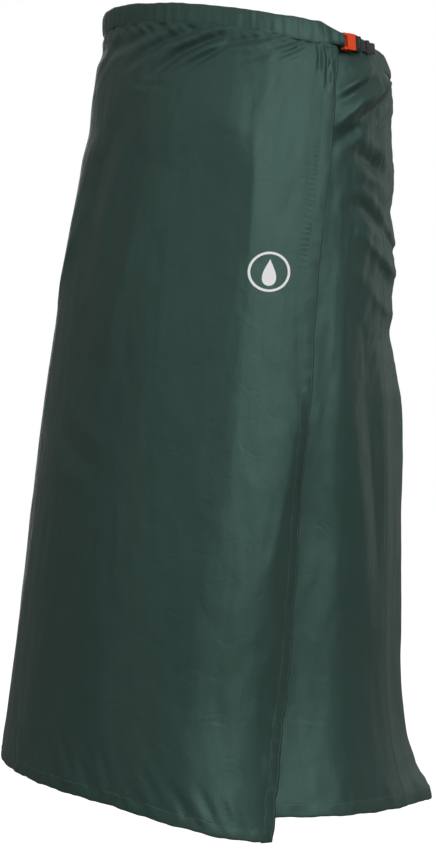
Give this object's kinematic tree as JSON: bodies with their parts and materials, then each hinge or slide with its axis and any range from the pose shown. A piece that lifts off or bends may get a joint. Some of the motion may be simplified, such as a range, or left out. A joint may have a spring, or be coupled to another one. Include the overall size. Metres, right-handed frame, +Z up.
{
  "type": "rain skirt",
  "caption": "Wrap-around rain skirt in thin nylon, with a folded waistband, an overlapping front panel and a small side release buckle.",
  "frame": {"origin": "centre of the waist opening, on the tilted plane of the waistband's top edge", "axes": "+Z up along the wearer's body, -Y towards the front, +X towards the wearer's left side, where the buckle is"},
  "size_m": [0.4181, 0.3834, 0.755],
  "materials": {
    "nylon": "satin",
    "seam_tape": "matte",
    "webbing": "matte",
    "elastic": "matte",
    "socket_plastic": "gloss",
    "plug_plastic": "satin",
    "fastening_tape": "matte",
    "print": "matte",
    "thread": "matte",
    "label": "matte"
  },
  "bodies": {
    "skirt_back": {"back_panel": "nylon", "under_wrap_panel": "nylon", "back_waistband": "nylon", "under_waistband": "nylon", "back_hem": "nylon", "under_hem": "nylon", "under_edge_facing": "nylon", "right_seam_tape": "seam_tape", "left_seam_tape": "seam_tape", "back_webbing": "webbing", "buckle_plug": "plug_plastic", "loop_tape": "fastening_tape", "care_label": "label", "hang_loop": "webbing"},
    "outer_wrap": {"outer_wrap_panel": "nylon", "outer_edge_facing": "nylon", "outer_hem": "nylon", "outer_waistband": "nylon", "front_webbing": "webbing", "socket_loop": "webbing", "buckle_socket": "socket_plastic", "hook_tape": "fastening_tape", "front_emblem": "print", "webbing_bartack": "thread"},
    "plug_arm_upper": {"plug_arm_upper": "plug_plastic"},
    "plug_arm_lower": {"plug_arm_lower": "plug_plastic"},
    "webbing_tail": {"webbing_tail": "webbing"},
    "tail_keeper": {"tail_keeper": "elastic"}
  },
  "joints": [
    {"name": "wrap_open", "type": "hinge", "parent": "skirt_back", "child": "outer_wrap", "pos_m": [-0.1807, 0, -0.35], "axis": [-0.0817, 0, -0.9967], "range_deg": [0, 90], "deforming": ["plug_arm_upper", "plug_arm_lower"]},
    {"name": "arm_upper_press", "type": "hinge", "parent": "skirt_back", "child": "plug_arm_upper", "pos_m": [0.15148, -0.01891, -0.01555], "axis": [0.9806, -0.1378, 0.1392], "range_deg": [0, 8], "stiffness_Nm_per_rad": 0.02},
    {"name": "arm_lower_press", "type": "hinge", "parent": "skirt_back", "child": "plug_arm_lower", "pos_m": [0.15288, -0.01911, -0.02565], "axis": [-0.9806, 0.1378, -0.1392], "range_deg": [0, 8], "stiffness_Nm_per_rad": 0.02},
    {"name": "tail_lift", "type": "hinge", "parent": "skirt_back", "child": "webbing_tail", "pos_m": [0.15158, -0.00903, -0.02088], "axis": [0.1378, -0.0194, -0.9903], "range_deg": [0, 35]},
    {"name": "keeper_slide", "type": "slide", "parent": "webbing_tail", "child": "tail_keeper", "axis": [0.0808, 0.9967, -0.0082], "range_m": [-0.003, 0.005]}
  ]
}
